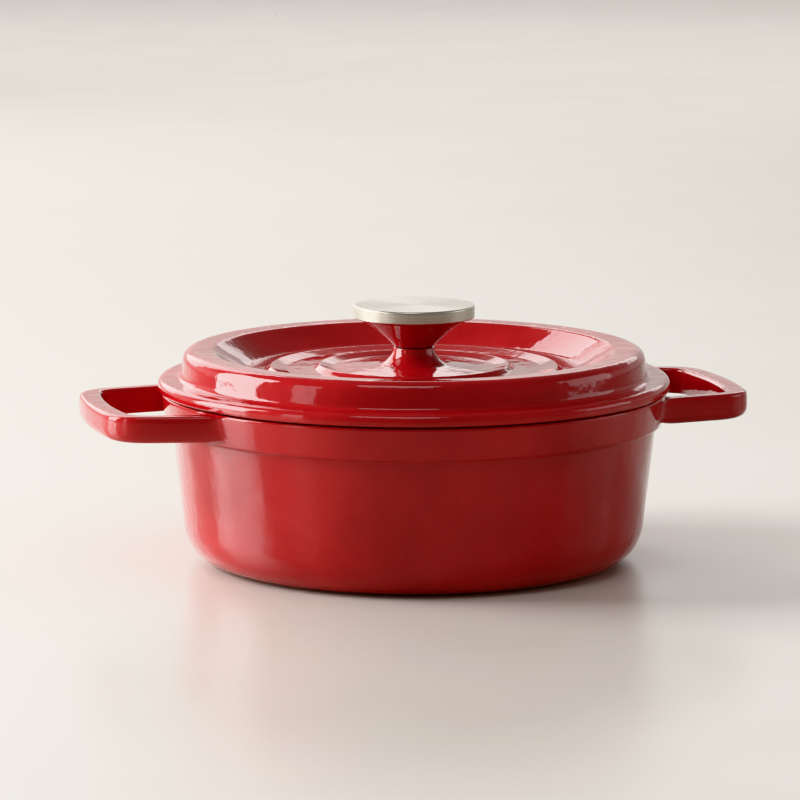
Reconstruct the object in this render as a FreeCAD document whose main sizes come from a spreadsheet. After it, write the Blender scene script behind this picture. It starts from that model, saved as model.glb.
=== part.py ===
"""Round enamelled cast iron dutch oven with a stepped lid and a capped knob, in millimetres.

The frame has +Z up, +X along the line through both handles, and its origin at the centre of the
underside. Every turned piece is a revolved profile. Both loop handles are cast with the pot.
"""
import FreeCAD, Part
import math
import os

import Sketcher
from FreeCAD import Vector

TOUCHING = 1e-3  # closer than this, two places are the same

doc = FreeCAD.newDocument("DutchOven")

# ---------------------------------------------------------------- driving dimensions
DIMENSIONS = {
    # pot shell, by the radii and heights of its corners
    "base_radius": 117.6,
    "base_round": 20,
    "wall_top_radius": 126,
    "wall_thick": 4,
    "floor_thick": 4.6,
    "floor_round": 15,
    "enamel_thick": 0.4,
    # thicker band round the mouth of the pot
    "band_bottom": 72.6,
    "band_low_radius": 129.2,
    "band_round": 1.9,
    "band_corner_round": 1,
    "rim_height": 90,
    "rim_radius": 131.8,
    "rim_inner_radius": 124.2,
    "rim_round": 1.5,
    # loop handles, seen from above, and their edges
    "handle_bottom": 75,
    "handle_thick": 13.9,
    "handle_root_radius": 127.6,
    "handle_root_half": 60.6,
    "handle_corner_half": 49.8,
    "handle_reach": 173.2,
    "handle_end_round": 230,
    "handle_corner_round": 21,
    "handle_width": 11.8,
    "gap_root_half": 50.2,
    "gap_corner_half": 43.3,
    "gap_corner_round": 11,
    "handle_low_edge": 4,
    "handle_edge": 2,
    # lid casting
    "flange_radius": 133.4,
    "flange_bottom": 90.7,
    "flange_low_round": 1.2,
    "flange_top": 97,
    "flange_round": 3,
    "seat_radius": 128.8,
    "ring_foot_radius": 121.6,
    "ring_foot_round": 2.6,
    "ring_radius": 119.8,
    "ring_height": 111.5,
    "ring_round": 5,
    "crown_inner_radius": 104.4,
    "crown_inner_height": 110.9,
    "crown_inner_round": 4,
    "well_radius": 87.6,
    "well_height": 100.5,
    "well_round": 6,
    "outer_rib_inside": 66.5,
    "outer_rib_crest": 74.8,
    "outer_rib_outside": 77.2,
    "outer_rib_height": 102.7,
    "mid_height": 101,
    "inner_rib_inside": 42.5,
    "inner_rib_crest": 49.4,
    "inner_rib_outside": 51.8,
    "inner_rib_height": 103.6,
    "rib_round": 1,
    "disc_height": 101.6,
    "boss_foot_radius": 17.6,
    "boss_foot_height": 103.2,
    "boss_flare": 11,
    "boss_radius": 10.4,
    "boss_height": 112.2,
    "boss_round": 0.6,
    "lid_thick": 3.8,
    "lid_under_height": 96.8,
    "lid_under_round": 3,
    "well_corner_shift": 0.33,
    "crown_corner_shift": 0.5,
    "lining_corner_shift": 0.3,
    "skirt_radius": 123,
    "skirt_thick": 3.6,
    "skirt_bottom": 85,
    "skirt_round": 1,
    "lining_stop": 1.4,
    "screw_hole_radius": 3.3,
    # knob
    "gasket_radius": 9.4,
    "gasket_thick": 0.6,
    "knob_flare": 60,
    "knob_lip_radius": 28.8,
    "knob_lip_height": 127.2,
    "cap_radius": 31.6,
    "cap_bottom": 127.8,
    "cap_top": 134.4,
    "cap_metal": 1.2,
    "cap_round": 0.9,
    "insert_radius": 5,
    "insert_length": 12,
    "insert_chamfer": 0.5,
    # fasteners under the lid
    "thread_bore_radius": 3,
    "screw_radius": 2.95,
    "screw_reach": 9.5,
    "screw_chamfer": 0.6,
    "screw_head_radius": 6,
    "screw_head_height": 3.8,
    "screw_head_round": 1.8,
    "drive_length": 7.6,
    "drive_width": 1.5,
    "drive_depth": 2.2,
    "washer_bore_radius": 3.2,
    "spring_washer_radius": 5.4,
    "spring_washer_thick": 1.5,
    "spring_washer_split": 1,
    "flat_washer_radius": 9,
    "flat_washer_thick": 1.4,
}

dims = doc.addObject("Spreadsheet::Sheet", "Dims")
for row, (alias, size) in enumerate(DIMENSIONS.items(), start=1):
    dims.set(f"A{row}", alias)
    dims.set(f"B{row}", str(size))
    dims.setAlias(f"B{row}", alias)
doc.recompute()

# Sizes that several pieces share, worked out from the cells.
ENAMEL = "Dims.enamel_thick"
RIM = "Dims.rim_height"
CAVITY_FOOT = "(Dims.base_radius - Dims.wall_thick)"
IRON_FOOT = f"({CAVITY_FOOT} + {ENAMEL})"
IRON_MOUTH = f"(Dims.rim_inner_radius + {ENAMEL})"
IRON_FLOOR = f"(Dims.floor_thick - {ENAMEL})"
# The underside of the slope from well to crown runs parallel to its top, one wall away.
WELL_UNDER = "(Dims.well_radius + Dims.lid_thick * Dims.well_corner_shift)"
CROWN_UNDER = "(Dims.ring_height - Dims.lid_thick)"
CROWN_UNDER_IN = "(Dims.crown_inner_radius + Dims.lid_thick * Dims.crown_corner_shift)"
CROWN_UNDER_OUT = "(Dims.ring_radius - Dims.lid_thick)"
SKIRT_INSIDE = "(Dims.skirt_radius - Dims.skirt_thick)"
KNOB_BOTTOM = "(Dims.boss_height + Dims.gasket_thick)"
INSERT_END = f"({KNOB_BOTTOM} + Dims.insert_length)"
CAP_INSIDE_RADIUS = "(Dims.cap_radius - Dims.cap_metal)"
CAP_INSIDE_TOP = "(Dims.cap_top - Dims.cap_metal)"
FLAT_WASHER_TOP = f"(Dims.lid_under_height - {ENAMEL})"
SPRING_WASHER_TOP = f"({FLAT_WASHER_TOP} - Dims.flat_washer_thick)"
SCREW_HEAD_TOP = f"({SPRING_WASHER_TOP} - Dims.spring_washer_thick)"
SCREW_HEAD_BOTTOM = f"({SCREW_HEAD_TOP} - Dims.screw_head_height)"


def number(expression):
    """The value of a sheet expression, as a plain number."""
    value = dims.evalExpression(expression)
    return float(getattr(value, "Value", value))


# ---------------------------------------------------------------- sketches
def new_body(label):
    body = doc.addObject("PartDesign::Body", label)
    body.Label = label
    return body


def new_sketch(body, name, role, height=None):
    """A sketch on one of the body's own origin planes, raised by a sheet expression if given."""
    plane = next(f for f in body.Origin.OriginFeatures if f.Role == role)
    sketch = body.newObject("Sketcher::SketchObject", name)
    sketch.AttachmentSupport = [(plane, "")]
    sketch.MapMode = "FlatFace"
    if height:
        sketch.setExpression("AttachmentOffset.Base.z", height)
    return sketch


def bind(sketch, kind, geometry, expression):
    """One dimension of the sketch, bound to a sheet expression."""
    index = sketch.addConstraint(Sketcher.Constraint(kind, *geometry, number(expression)))
    sketch.setExpression(f"Constraints[{index}]", expression)


def end_at(sketch, geometry, point):
    """Which end of a line or arc lies at the point: 1 for its start, 2 for its end."""
    return 1 if sketch.getPoint(geometry, 1).distanceToPoint(point) < TOUCHING else 2


def fix_along(sketch, kind, axis, geometry, position, expression):
    """Bind one coordinate of a point, measured from the sketch's origin."""
    value = number(expression)
    if abs(value) < TOUCHING:
        sketch.addConstraint(Sketcher.Constraint("PointOnObject", geometry, position, axis))
    elif value > 0:
        bind(sketch, kind, (-1, 1, geometry, position), expression)
    else:
        bind(sketch, kind, (geometry, position, -1, 1), f"-({expression})")


def bulged_middle(start, end, radius, side):
    """The middle of the arc from start to end, on its right-hand side for 1 and its left for -1."""
    chord = end - start
    rise = radius - math.sqrt(radius**2 - (chord.Length / 2) ** 2)
    across = Vector(chord.y, -chord.x, 0).normalize()
    return (start + end) * 0.5 + across * (rise * side)


def outline(sketch, corners):
    """A closed outline. A corner is (across, up), or (across, up, radius, side) where an arc
    instead of a line runs on to the next corner."""
    points = [Vector(number(corner[0]), number(corner[1]), 0) for corner in corners]
    following = [*range(1, len(corners)), 0]
    for start, after, corner in zip(points, following, corners):
        end = points[after]
        if len(corner) == 2:
            sketch.addGeometry(Part.LineSegment(start, end), False)
        else:
            middle = bulged_middle(start, end, number(corner[2]), corner[3])
            sketch.addGeometry(Part.Arc(start, middle, end), False)
    for index, after in enumerate(following):
        here, there = (end_at(sketch, edge, points[after]) for edge in (index, after))
        sketch.addConstraint(Sketcher.Constraint("Coincident", index, here, after, there))
    for index, corner in enumerate(corners):
        position = end_at(sketch, index, points[index])
        fix_along(sketch, "DistanceX", -2, index, position, corner[0])
        fix_along(sketch, "DistanceY", -1, index, position, corner[1])
        if len(corner) > 2:
            bind(sketch, "Radius", (index,), corner[2])


# ---------------------------------------------------------------- features
def turned(body, name, corners):
    """A profile of (radius, height) corners, turned once round the Z axis."""
    sketch = new_sketch(body, f"{name}_profile", "XZ_Plane")
    outline(sketch, corners)
    turn = body.newObject("PartDesign::Revolution", name)
    turn.Profile = sketch
    turn.ReferenceAxis = (sketch, ["V_Axis"])
    turn.Angle = 360
    doc.recompute()
    return turn


def dress(body, name, kind, size, is_wanted, expected):
    """Fillet or chamfer every edge of the body so far that is_wanted picks."""
    base = body.Tip
    edges = [f"Edge{i}" for i, edge in enumerate(base.Shape.Edges, start=1) if is_wanted(edge)]
    if len(edges) != expected:
        raise RuntimeError(f"{name}: {len(edges)} edges found, {expected} expected")
    feature = body.newObject(f"PartDesign::{kind}", name)
    feature.Base = (base, edges)
    feature.setExpression("Radius" if kind == "Fillet" else "Size", size)
    doc.recompute()


def turned_edges(body, name, size, corners, kind="Fillet"):
    """Fillet or chamfer the circular edges that run through the (radius, height) corners."""
    places = [(number(radius), number(height)) for radius, height in corners]

    def is_wanted(edge):
        circle = edge.Curve
        if not isinstance(circle, Part.Circle):
            return False
        centre = circle.Center
        if math.hypot(centre.x, centre.y) > TOUCHING:
            return False
        return any(math.hypot(circle.Radius - r, centre.z - z) < TOUCHING for r, z in places)

    dress(body, name, kind, size, is_wanted, len(corners))


def cut_through(body, name, corners, height, depth, is_reversed):
    """A pocket with a flat outline of (x, y) corners, sunk from a level plane."""
    before = body.Shape.Volume
    sketch = new_sketch(body, f"{name}_outline", "XY_Plane", height)
    outline(sketch, corners)
    pocket = body.newObject("PartDesign::Pocket", name)
    pocket.Profile = sketch
    pocket.setExpression("Length", depth)
    pocket.Reversed = is_reversed
    doc.recompute()
    if body.Shape.Volume >= before:
        raise RuntimeError(f"{name} cuts nothing")


# ---------------------------------------------------------------- pot
def loop_handles(body):
    """Both loop handles: a U seen from above, rooted inside the band, padded and mirrored."""
    root = "Dims.handle_root_radius"
    bow = "Dims.handle_end_round"
    gap_bow = "(Dims.handle_end_round - Dims.handle_width)"
    end_centre = f"(Dims.handle_reach - {bow})"
    outer_half, outer_corner = "Dims.handle_root_half", "Dims.handle_corner_half"
    gap_half, gap_corner = "Dims.gap_root_half", "Dims.gap_corner_half"
    outer_root_x = f"sqrt({root}^2 - {outer_half}^2)"
    gap_root_x = f"sqrt({root}^2 - {gap_half}^2)"
    outer_corner_x = f"({end_centre} + sqrt({bow}^2 - {outer_corner}^2))"
    gap_corner_x = f"({end_centre} + sqrt({gap_bow}^2 - {gap_corner}^2))"
    sketch = new_sketch(body, "handle_outline", "XY_Plane", "Dims.handle_bottom")
    outline(
        sketch,
        [
            (outer_root_x, f"-{outer_half}"),
            (outer_corner_x, f"-{outer_corner}", bow, 1),
            (outer_corner_x, outer_corner),
            (outer_root_x, outer_half),
            (gap_root_x, gap_half),
            (gap_corner_x, gap_corner, gap_bow, -1),
            (gap_corner_x, f"-{gap_corner}"),
            (gap_root_x, f"-{gap_half}"),
        ],
    )
    pad = body.newObject("PartDesign::Pad", "handle")
    pad.Profile = sketch
    pad.setExpression("Length", "Dims.handle_thick")
    doc.recompute()
    mirrored = body.newObject("PartDesign::Mirrored", "second_handle")
    mirrored.Originals = [pad]
    across = next(f for f in body.Origin.OriginFeatures if f.Role == "YZ_Plane")
    mirrored.MirrorPlane = (across, [""])
    body.Tip = mirrored
    doc.recompute()

    def upright_at(x, y):
        def is_wanted(edge):
            box = edge.BoundBox
            upright = max(box.XLength, box.YLength) < TOUCHING
            return upright and math.hypot(abs(box.XMin) - x, abs(box.YMin) - y) < TOUCHING

        return is_wanted

    def level_at(reach, height):
        def is_wanted(edge):
            box = edge.BoundBox
            level = box.ZLength < TOUCHING and abs(box.ZMin - height) < TOUCHING
            middle = edge.valueAt((edge.FirstParameter + edge.LastParameter) / 2)
            return level and math.hypot(abs(middle.x) - reach, middle.y) < TOUCHING

        return is_wanted

    outer = upright_at(number(outer_corner_x), number(outer_corner))
    dress(body, "handle_corners", "Fillet", "Dims.handle_corner_round", outer, 4)
    inner = upright_at(number(gap_corner_x), number(gap_corner))
    dress(body, "gap_corners", "Fillet", "Dims.gap_corner_round", inner, 4)
    bottom = number("Dims.handle_bottom")
    top = bottom + number("Dims.handle_thick")
    reach = number("Dims.handle_reach")
    gap_reach = reach - number("Dims.handle_width")
    edge = "Dims.handle_edge"
    dress(body, "handle_low_edges", "Fillet", "Dims.handle_low_edge", level_at(reach, bottom), 2)
    dress(body, "handle_top_edges", "Fillet", edge, level_at(reach, top), 2)
    dress(body, "gap_low_edges", "Fillet", edge, level_at(gap_reach, bottom), 2)
    dress(body, "gap_top_edges", "Fillet", edge, level_at(gap_reach, top), 2)


def pot_casting():
    body = new_body("pot_casting")
    base_edge = ("Dims.base_radius", "0")
    band_foot = ("Dims.wall_top_radius", "Dims.band_bottom")
    band_lip = ("Dims.band_low_radius", "Dims.band_bottom")
    rim_edge = ("Dims.rim_radius", RIM)
    floor_corner = (IRON_FOOT, IRON_FLOOR)
    inside = [(IRON_MOUTH, RIM), floor_corner, ("0", IRON_FLOOR)]
    turned(body, "shell", [("0", "0"), base_edge, band_foot, band_lip, rim_edge, *inside])
    turned_edges(body, "base_edge", "Dims.base_round", [base_edge])
    turned_edges(body, "floor_corner", "Dims.floor_round", [floor_corner])
    turned_edges(body, "band_lip", "Dims.band_round", [band_lip])
    turned_edges(body, "band_foot", "Dims.band_corner_round", [band_foot])
    loop_handles(body)
    turned_edges(body, "rim_edge", "Dims.rim_round", [rim_edge])
    return body


def pot_lining():
    """Light enamel fused to the inside of the pot, up to the level of the rim."""
    body = new_body("pot_interior_enamel")
    contact = (IRON_FOOT, IRON_FLOOR)
    exposed = (CAVITY_FOOT, "Dims.floor_thick")
    mouth = [("Dims.rim_inner_radius", RIM), (IRON_MOUTH, RIM)]
    floor = [("0", IRON_FLOOR), ("0", "Dims.floor_thick")]
    turned(body, "lining", [*floor, exposed, *mouth, contact])
    turned_edges(body, "contact_round", "Dims.floor_round", [contact])
    turned_edges(body, "exposed_round", f"Dims.floor_round - {ENAMEL}", [exposed])
    return body


# ---------------------------------------------------------------- lid
def lid_casting():
    body = new_body("lid_casting")
    hole = "Dims.screw_hole_radius"
    boss_edge = ("Dims.boss_radius", "Dims.boss_height")
    boss_foot = ("Dims.boss_foot_radius", "Dims.boss_foot_height")
    ribs = [
        ("Dims.inner_rib_inside", "Dims.disc_height"),
        ("Dims.inner_rib_crest", "Dims.inner_rib_height"),
        ("Dims.inner_rib_outside", "Dims.mid_height"),
        ("Dims.outer_rib_inside", "Dims.mid_height"),
        ("Dims.outer_rib_crest", "Dims.outer_rib_height"),
        ("Dims.outer_rib_outside", "Dims.well_height"),
    ]
    well = ("Dims.well_radius", "Dims.well_height")
    crown_inside = ("Dims.crown_inner_radius", "Dims.crown_inner_height")
    crown_outside = ("Dims.ring_radius", "Dims.ring_height")
    ring_foot = ("Dims.ring_foot_radius", "Dims.flange_top")
    flange_edge = ("Dims.flange_radius", "Dims.flange_top")
    flange_low_edge = ("Dims.flange_radius", "Dims.flange_bottom")
    seat = [("Dims.seat_radius", "Dims.flange_bottom"), ("Dims.seat_radius", RIM)]
    skirt_edges = [("Dims.skirt_radius", "Dims.skirt_bottom"), (SKIRT_INSIDE, "Dims.skirt_bottom")]
    under = [(CROWN_UNDER_OUT, CROWN_UNDER), (CROWN_UNDER_IN, CROWN_UNDER)]
    under.append((WELL_UNDER, "Dims.lid_under_height"))
    turned(
        body,
        "lid",
        [
            (hole, "Dims.boss_height"),
            (*boss_edge, "Dims.boss_flare", 1),
            boss_foot,
            *ribs,
            well,
            crown_inside,
            crown_outside,
            ring_foot,
            flange_edge,
            flange_low_edge,
            *seat,
            ("Dims.skirt_radius", RIM),
            *skirt_edges,
            *under,
            (hole, "Dims.lid_under_height"),
        ],
    )
    turned_edges(body, "ring_edge", "Dims.ring_round", [crown_outside])
    turned_edges(body, "crown_edge", "Dims.crown_inner_round", [crown_inside])
    turned_edges(body, "well_corner", "Dims.well_round", [well])
    turned_edges(body, "ring_foot", "Dims.ring_foot_round", [ring_foot])
    turned_edges(body, "flange_edge", "Dims.flange_round", [flange_edge])
    turned_edges(body, "flange_low_edge", "Dims.flange_low_round", [flange_low_edge])
    turned_edges(body, "rib_edges", "Dims.rib_round", ribs)
    turned_edges(body, "boss_edge", "Dims.boss_round", [boss_edge])
    turned_edges(body, "under_corners", "Dims.lid_under_round", under)
    turned_edges(body, "skirt_edges", "Dims.skirt_round", skirt_edges)
    return body


def lid_lining():
    """Light enamel fused to the underside of the lid, from the screw hole to the skirt."""
    body = new_body("lid_interior_enamel")
    hole = "Dims.screw_hole_radius"
    under = "Dims.lid_under_height"
    stop = "(Dims.skirt_bottom + Dims.lining_stop)"
    lean = f"({SKIRT_INSIDE} - {CROWN_UNDER_OUT}) / ({CROWN_UNDER} - Dims.skirt_bottom)"
    stop_radius = f"({SKIRT_INSIDE} - Dims.lining_stop * {lean})"
    contact = [(WELL_UNDER, under), (CROWN_UNDER_IN, CROWN_UNDER), (CROWN_UNDER_OUT, CROWN_UNDER)]
    shift = f"{ENAMEL} * Dims.lining_corner_shift"
    exposed_well = (f"{WELL_UNDER} + {shift}", f"{under} - {ENAMEL}")
    exposed_crown = [
        (f"{CROWN_UNDER_OUT} - {ENAMEL}", f"{CROWN_UNDER} - {ENAMEL}"),
        (f"{CROWN_UNDER_IN} + {shift}", f"{CROWN_UNDER} - {ENAMEL}"),
    ]
    stops = [(stop_radius, stop), (f"{stop_radius} - {ENAMEL}", stop)]
    inner_edge = (hole, f"{under} - {ENAMEL}")
    turned(body, "lining", [(hole, under), *contact, *stops, *exposed_crown, exposed_well, inner_edge])
    turned_edges(body, "contact_rounds", "Dims.lid_under_round", contact)
    turned_edges(body, "well_round", f"Dims.lid_under_round + {ENAMEL}", [exposed_well])
    turned_edges(body, "crown_rounds", f"Dims.lid_under_round - {ENAMEL}", exposed_crown)
    return body


def plain_ring(label, bore, outside, low, high):
    """A piece that is only a ring between two heights."""
    body = new_body(label)
    turned(body, "ring", [(bore, low), (outside, low), (outside, high), (bore, high)])
    return body


# ---------------------------------------------------------------- knob
def knob_gasket():
    """Thin silicone disc that keeps the cone off the enamel of the lid's boss."""
    sizes = ("Dims.screw_hole_radius", "Dims.gasket_radius", "Dims.boss_height", KNOB_BOTTOM)
    return plain_ring("knob_gasket", *sizes)


def knob_cone():
    """Trumpet-shaped stem under the cap, with a blind pocket for the threaded insert."""
    body = new_body("knob_cone")
    foot = ("Dims.boss_radius", KNOB_BOTTOM)
    turned(
        body,
        "trumpet",
        [
            ("0", INSERT_END),
            ("Dims.insert_radius", INSERT_END),
            ("Dims.insert_radius", KNOB_BOTTOM),
            (*foot, "Dims.knob_flare", -1),
            ("Dims.knob_lip_radius", "Dims.knob_lip_height"),
            ("Dims.knob_lip_radius", "Dims.cap_bottom"),
            (CAP_INSIDE_RADIUS, "Dims.cap_bottom"),
            (CAP_INSIDE_RADIUS, CAP_INSIDE_TOP),
            ("0", CAP_INSIDE_TOP),
        ],
    )
    turned_edges(body, "foot_edge", "Dims.boss_round", [foot])
    return body


def knob_cap():
    """Stainless cap, pressed over the head of the cone."""
    body = new_body("knob_cap")
    top_edge = ("Dims.cap_radius", "Dims.cap_top")
    inside = [(CAP_INSIDE_RADIUS, "Dims.cap_bottom"), (CAP_INSIDE_RADIUS, CAP_INSIDE_TOP)]
    outside = [("0", "Dims.cap_top"), top_edge, ("Dims.cap_radius", "Dims.cap_bottom")]
    turned(body, "cup", [*outside, *inside, ("0", CAP_INSIDE_TOP)])
    turned_edges(body, "top_edge", "Dims.cap_round", [top_edge])
    return body


def knob_insert():
    """Threaded bush in the cone. Its thread is drawn as a plain bore."""
    bore = "Dims.thread_bore_radius"
    body = plain_ring("knob_insert", bore, "Dims.insert_radius", KNOB_BOTTOM, INSERT_END)
    mouth = [(bore, KNOB_BOTTOM)]
    turned_edges(body, "lead_in", "Dims.insert_chamfer", mouth, kind="Chamfer")
    return body


# ---------------------------------------------------------------- fasteners
def lid_screw():
    """Pan head screw, driven from inside the lid up into the knob. Its thread is drawn plain."""
    body = new_body("lid_screw")
    head, shank = "Dims.screw_head_radius", "Dims.screw_radius"
    tip = f"{KNOB_BOTTOM} + Dims.screw_reach"
    turned(
        body,
        "screw",
        [
            ("0", SCREW_HEAD_BOTTOM),
            (head, SCREW_HEAD_BOTTOM),
            (head, SCREW_HEAD_TOP),
            (shank, SCREW_HEAD_TOP),
            (shank, tip),
            ("0", tip),
        ],
    )
    turned_edges(body, "pan_head", "Dims.screw_head_round", [(head, SCREW_HEAD_BOTTOM)])
    turned_edges(body, "tip_chamfer", "Dims.screw_chamfer", [(shank, tip)], kind="Chamfer")
    long, short = "Dims.drive_length / 2", "Dims.drive_width / 2"
    quarter = [(long, short), (short, short), (short, long)]
    cross = []
    for sign_x, sign_y in ((1, 1), (-1, 1), (-1, -1), (1, -1)):
        points = [(f"{sign_x} * {x}", f"{sign_y} * {y}") for x, y in quarter]
        cross += points if sign_x == sign_y else points[::-1]
    cut_through(body, "cross_drive", cross, SCREW_HEAD_BOTTOM, "Dims.drive_depth", True)
    return body


def spring_washer():
    """Split washer, drawn flat as it lies when the screw is tight."""
    bore, outside = "Dims.washer_bore_radius", "Dims.spring_washer_radius"
    body = plain_ring("spring_washer", bore, outside, SCREW_HEAD_TOP, SPRING_WASHER_TOP)
    half = "Dims.spring_washer_split / 2"
    far = f"2 * {outside}"
    split = [("0", f"-{half}"), (far, f"-{half}"), (far, half), ("0", half)]
    cut_through(body, "split", split, SCREW_HEAD_TOP, "Dims.spring_washer_thick", True)
    return body


def flat_washer():
    bore, outside = "Dims.washer_bore_radius", "Dims.flat_washer_radius"
    return plain_ring("flat_washer", bore, outside, SPRING_WASHER_TOP, FLAT_WASHER_TOP)


bodies = [
    pot_casting(),
    pot_lining(),
    lid_casting(),
    lid_lining(),
    knob_gasket(),
    knob_cone(),
    knob_cap(),
    knob_insert(),
    lid_screw(),
    spring_washer(),
    flat_washer(),
]
doc.recompute()

# ---------------------------------------------------------------- checks and export
for item in doc.Objects:
    if "Invalid" in item.State or "Error" in item.State:
        raise RuntimeError(f"{item.Label} failed: {item.State}")
for body in bodies:
    if body.Shape.isNull() or not body.Shape.isValid() or len(body.Shape.Solids) != 1:
        raise RuntimeError(f"{body.Label} isn't one valid solid")

os.makedirs("parts", exist_ok=True)
for body in bodies:
    body.Shape.exportStep(f"parts/{body.Label}.step")
    box = body.Shape.BoundBox
    print(f"{body.Label}: {body.Shape.Volume / 1000:.2f} cm3, z {box.ZMin:.2f} to {box.ZMax:.2f}")
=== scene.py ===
"""The looks of a round enamelled cast iron dutch oven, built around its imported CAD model."""
import math
from collections import Counter

import bpy
from mathutils import Euler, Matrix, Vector


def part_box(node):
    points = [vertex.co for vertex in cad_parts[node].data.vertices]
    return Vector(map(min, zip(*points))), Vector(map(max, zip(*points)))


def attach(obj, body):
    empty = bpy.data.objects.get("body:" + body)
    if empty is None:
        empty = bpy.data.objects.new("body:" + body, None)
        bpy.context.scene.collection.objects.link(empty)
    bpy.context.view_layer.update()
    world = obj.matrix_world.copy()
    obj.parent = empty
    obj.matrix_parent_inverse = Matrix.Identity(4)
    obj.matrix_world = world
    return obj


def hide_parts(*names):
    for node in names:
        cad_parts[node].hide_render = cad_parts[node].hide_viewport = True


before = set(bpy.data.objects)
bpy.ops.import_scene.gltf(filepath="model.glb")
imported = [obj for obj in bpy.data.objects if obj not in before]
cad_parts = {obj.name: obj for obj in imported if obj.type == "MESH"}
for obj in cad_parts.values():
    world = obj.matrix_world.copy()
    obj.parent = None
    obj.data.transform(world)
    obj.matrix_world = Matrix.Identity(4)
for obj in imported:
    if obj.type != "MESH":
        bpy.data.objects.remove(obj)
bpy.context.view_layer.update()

MM = 0.001
POT, LID = "pot", "lid"

# ---------------------------------------------------------------- places read from the frame
RIM_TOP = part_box("pot_interior_enamel")[1].z / MM
CAVITY_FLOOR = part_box("pot_interior_enamel")[0].z / MM
SKIRT_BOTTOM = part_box("lid_casting")[0].z / MM
BOSS_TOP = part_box("lid_casting")[1].z / MM
CONE_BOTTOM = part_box("knob_cone")[0].z / MM
CAP_BOTTOM, CAP_TOP = (corner.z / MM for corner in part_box("knob_cap"))
CAP_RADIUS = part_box("knob_cap")[1].x / MM
HANDLE_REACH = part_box("pot_casting")[1].x / MM
FLANGE_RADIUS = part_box("lid_casting")[1].y / MM
GASKET_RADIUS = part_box("knob_gasket")[1].x / MM
SCREW_HEAD_BOTTOM, SCREW_TIP = (corner.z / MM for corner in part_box("lid_screw"))
SPRING_BOTTOM, SPRING_TOP = (corner.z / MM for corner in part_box("spring_washer"))
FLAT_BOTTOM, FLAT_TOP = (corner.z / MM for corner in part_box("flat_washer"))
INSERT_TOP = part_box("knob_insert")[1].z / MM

# ---------------------------------------------------------------- fineness of the turned meshes
TURN_STEPS = 144
ARC_STEP = math.radians(24)  # one edge of a rounding turns by this much at most
BOW_STEP = ARC_STEP / 3  # and one edge of a long arc by this much
STRAIGHT = 0.001  # radians of turn under which a corner counts as straight
HOLD = 1.2  # mm from a rounding to the edge that keeps the flat beside it flat
WELD = 1e-6  # m within which doubled vertices are merged
SMOOTH_ANGLE = 40  # degrees, sharper edges stay crisp
FASTENER_ANGLE = 30


# ---------------------------------------------------------------- making meshes
def deselect_everything():
    if bpy.context.object and bpy.context.object.mode != "OBJECT":
        bpy.ops.object.mode_set(mode="OBJECT")
    bpy.ops.object.select_all(action="DESELECT")


def start_from_point(name, place):
    """A new piece in edit mode that is only one vertex, from a plane merged to its middle."""
    deselect_everything()
    bpy.ops.mesh.primitive_plane_add(size=MM, location=place)
    piece = bpy.context.object
    piece.name = name
    piece.data.name = name
    bpy.ops.object.transform_apply(location=True, rotation=True, scale=True)
    bpy.ops.object.mode_set(mode="EDIT")
    bpy.ops.mesh.select_mode(type="VERT")
    bpy.ops.mesh.select_all(action="SELECT")
    bpy.ops.mesh.merge(type="CENTER")
    return piece


def extrude_by(step):
    bpy.ops.mesh.extrude_region_move(TRANSFORM_OT_translate={"value": step})


def rounded_corner(before, corner, after, rounding):
    """The points of a rounding of a drawn outline, from one tangent point to the other."""
    into = (corner - before).normalized()
    out = (after - corner).normalized()
    turn = math.atan2(into.cross(out), into.dot(out))
    if rounding == 0 or abs(turn) < STRAIGHT:
        return [corner]
    setback = rounding * math.tan(abs(turn) / 2)
    side = math.copysign(1, turn)
    start = corner - into * setback
    centre = start + Vector((-into.y, into.x)) * (side * rounding)
    count = max(2, math.ceil(abs(turn) / ARC_STEP))
    spoke = start - centre
    points = []
    for index in range(count + 1):
        angle = turn * index / count
        cos, sin = math.cos(angle), math.sin(angle)
        points.append(centre + Vector((spoke.x * cos - spoke.y * sin, spoke.x * sin + spoke.y * cos)))
    return points


def arc_between(start, end, radius, side):
    """Inner points of an arc from start to end that bulges to its right for 1, to its left for -1."""
    chord = end - start
    middle = (start + end) / 2
    depth = math.sqrt(radius**2 - (chord.length / 2) ** 2)
    centre = middle + Vector((-chord.y, chord.x)).normalized() * (depth * side)
    first, last = start - centre, end - centre
    sweep = math.atan2(first.cross(last), first.dot(last))
    count = max(2, math.ceil(abs(sweep) / BOW_STEP))
    points = []
    for index in range(1, count):
        angle = sweep * index / count
        cos, sin = math.cos(angle), math.sin(angle)
        points.append(centre + Vector((first.x * cos - first.y * sin, first.x * sin + first.y * cos)))
    return points


def drawn_profile(corners, closed):
    """Points of an outline from (radius, height, rounding) corners, in millimetres. A corner with
    two more values, (radius, height, rounding, bow, side), runs on to the next one in an arc."""
    places = [Vector(corner[:2]) for corner in corners]
    last = len(corners) - 1
    runs = []
    for index, corner in enumerate(corners):
        if not closed and index in (0, last):
            runs.append([places[index]])
            continue
        before, after = places[index - 1], places[(index + 1) % len(corners)]
        runs.append(rounded_corner(before, places[index], after, corner[2]))
    points = []
    for index, run in enumerate(runs):
        points += run
        if index == last and not closed:
            break
        start, end = run[-1], runs[(index + 1) % len(runs)][0]
        corner = corners[index]
        if len(corner) > 3:
            points += arc_between(start, end, corner[3], corner[4])
            continue
        gap = (end - start).length
        along = (end - start).normalized()
        if gap > 3 * HOLD:
            points += [start + along * HOLD, end - along * HOLD]
    return points


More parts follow.
